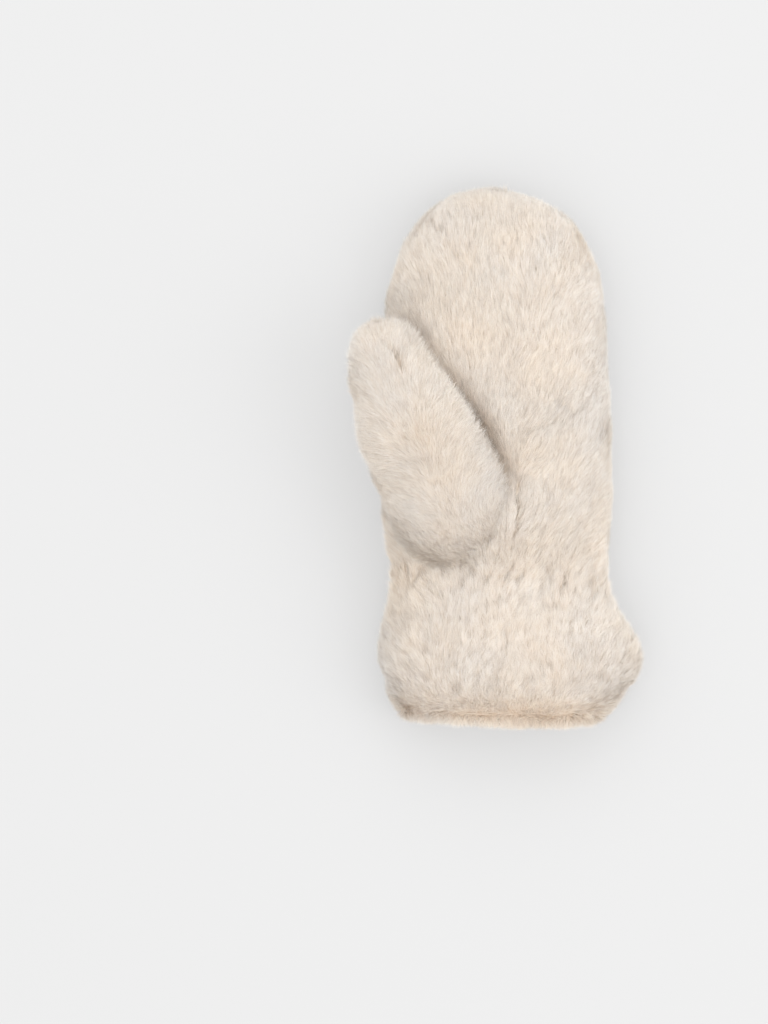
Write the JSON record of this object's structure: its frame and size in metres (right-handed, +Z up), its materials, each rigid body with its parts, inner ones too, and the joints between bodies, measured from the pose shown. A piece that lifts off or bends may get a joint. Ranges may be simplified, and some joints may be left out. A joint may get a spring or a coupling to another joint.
{
  "type": "mitten",
  "caption": "Left-hand plush fur mitten lying palm up, with a gusseted thumb folded over the palm, a seamed wrist and a flared, gathered cuff open at the hem.",
  "frame": {"origin": "on the floor under the middle of the mitten's length, in the middle of the flat underside of the back panel", "axes": "+Y towards the fingertips, -X towards the thumb's side, +Z up out of the palm"},
  "size_m": [0.1559, 0.2856, 0.0723],
  "materials": {
    "fur_pile": "soft ivory plush pile, brushed towards the fingertips",
    "backing_cloth": "plain knitted backing of the pile, seen only inside"
  },
  "bodies": {
    "root": {"back_panel": "fur_pile", "palm_panel": "fur_pile", "thumb": "fur_pile", "cuff": "fur_pile"}
  },
  "joints": []
}
